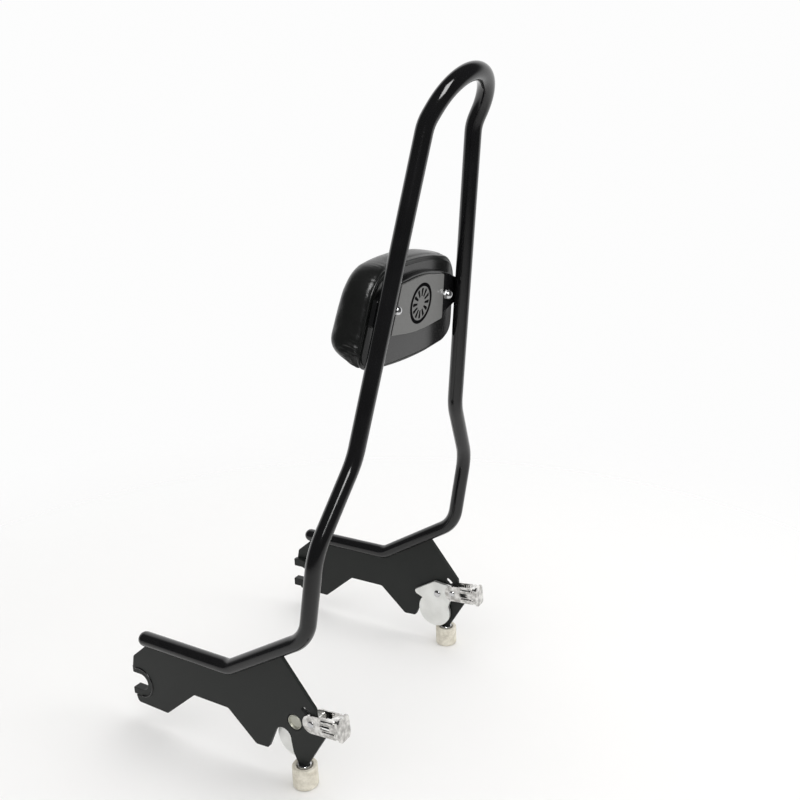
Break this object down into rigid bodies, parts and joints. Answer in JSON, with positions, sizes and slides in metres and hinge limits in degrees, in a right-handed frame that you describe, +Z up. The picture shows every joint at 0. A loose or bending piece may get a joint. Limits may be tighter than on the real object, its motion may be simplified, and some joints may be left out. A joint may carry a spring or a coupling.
{
  "type": "motorcycle sissy bar",
  "caption": "Detachable passenger backrest with a bent bar hoop, padded cushion, side plates with docking notches and sprung rotary latches worked by thumb levers.",
  "frame": {"origin": "on the plane of symmetry, on the plane of the foot cups' lower faces, halfway between the front of the side plates and the back of the arch", "axes": "+X the motorcycle's left, -Y its forward direction, +Z up"},
  "size_m": [0.317, 0.3512, 0.6558],
  "materials": {
    "gloss_black": "gloss",
    "satin_black": "satin",
    "badge_grey": "satin",
    "board": "matte",
    "vinyl": "soft grained",
    "chrome": "polished",
    "zinc": "satin plated",
    "spring_steel": "drawn wire",
    "washer_plastic": "matte",
    "foot_rubber": "matte, mottled"
  },
  "bodies": {
    "frame": {"hoop_bar": "gloss_black", "left_side_plate": "satin_black", "right_side_plate": "satin_black", "left_notch_bushing": "satin_black", "right_notch_bushing": "satin_black", "cross_plate": "gloss_black", "badge_plate": "badge_grey", "pad_board": "board", "pad_cushion": "vinyl", "left_pad_bolt": "chrome", "right_pad_bolt": "chrome", "left_dome_nut": "chrome", "right_dome_nut": "chrome", "left_nut_washer": "chrome", "right_nut_washer": "chrome", "left_return_spring": "spring_steel", "right_return_spring": "spring_steel", "left_thrust_washer": "washer_plastic", "right_thrust_washer": "washer_plastic", "left_foot_cup": "foot_rubber", "right_foot_cup": "foot_rubber"},
    "left_latch": {"left_latch_plate": "zinc", "left_latch_pivot": "zinc", "left_lever": "chrome", "left_lever_rivet": "chrome"},
    "right_latch": {"right_latch_plate": "zinc", "right_latch_pivot": "zinc", "right_lever": "chrome", "right_lever_rivet": "chrome"}
  },
  "joints": [
    {"name": "left_latch_turn", "type": "hinge", "parent": "frame", "child": "left_latch", "pos_m": [0.146, 0.0437, 0.0675], "axis": [1, 0, 0], "range_deg": [0, 40], "stiffness_Nm_per_rad": 0.05, "springref_deg": -17.19},
    {"name": "right_latch_turn", "type": "hinge", "parent": "frame", "child": "right_latch", "pos_m": [-0.146, 0.0437, 0.0675], "axis": [1, 0, 0], "range_deg": [0, 40], "stiffness_Nm_per_rad": 0.05, "springref_deg": -17.19}
  ]
}
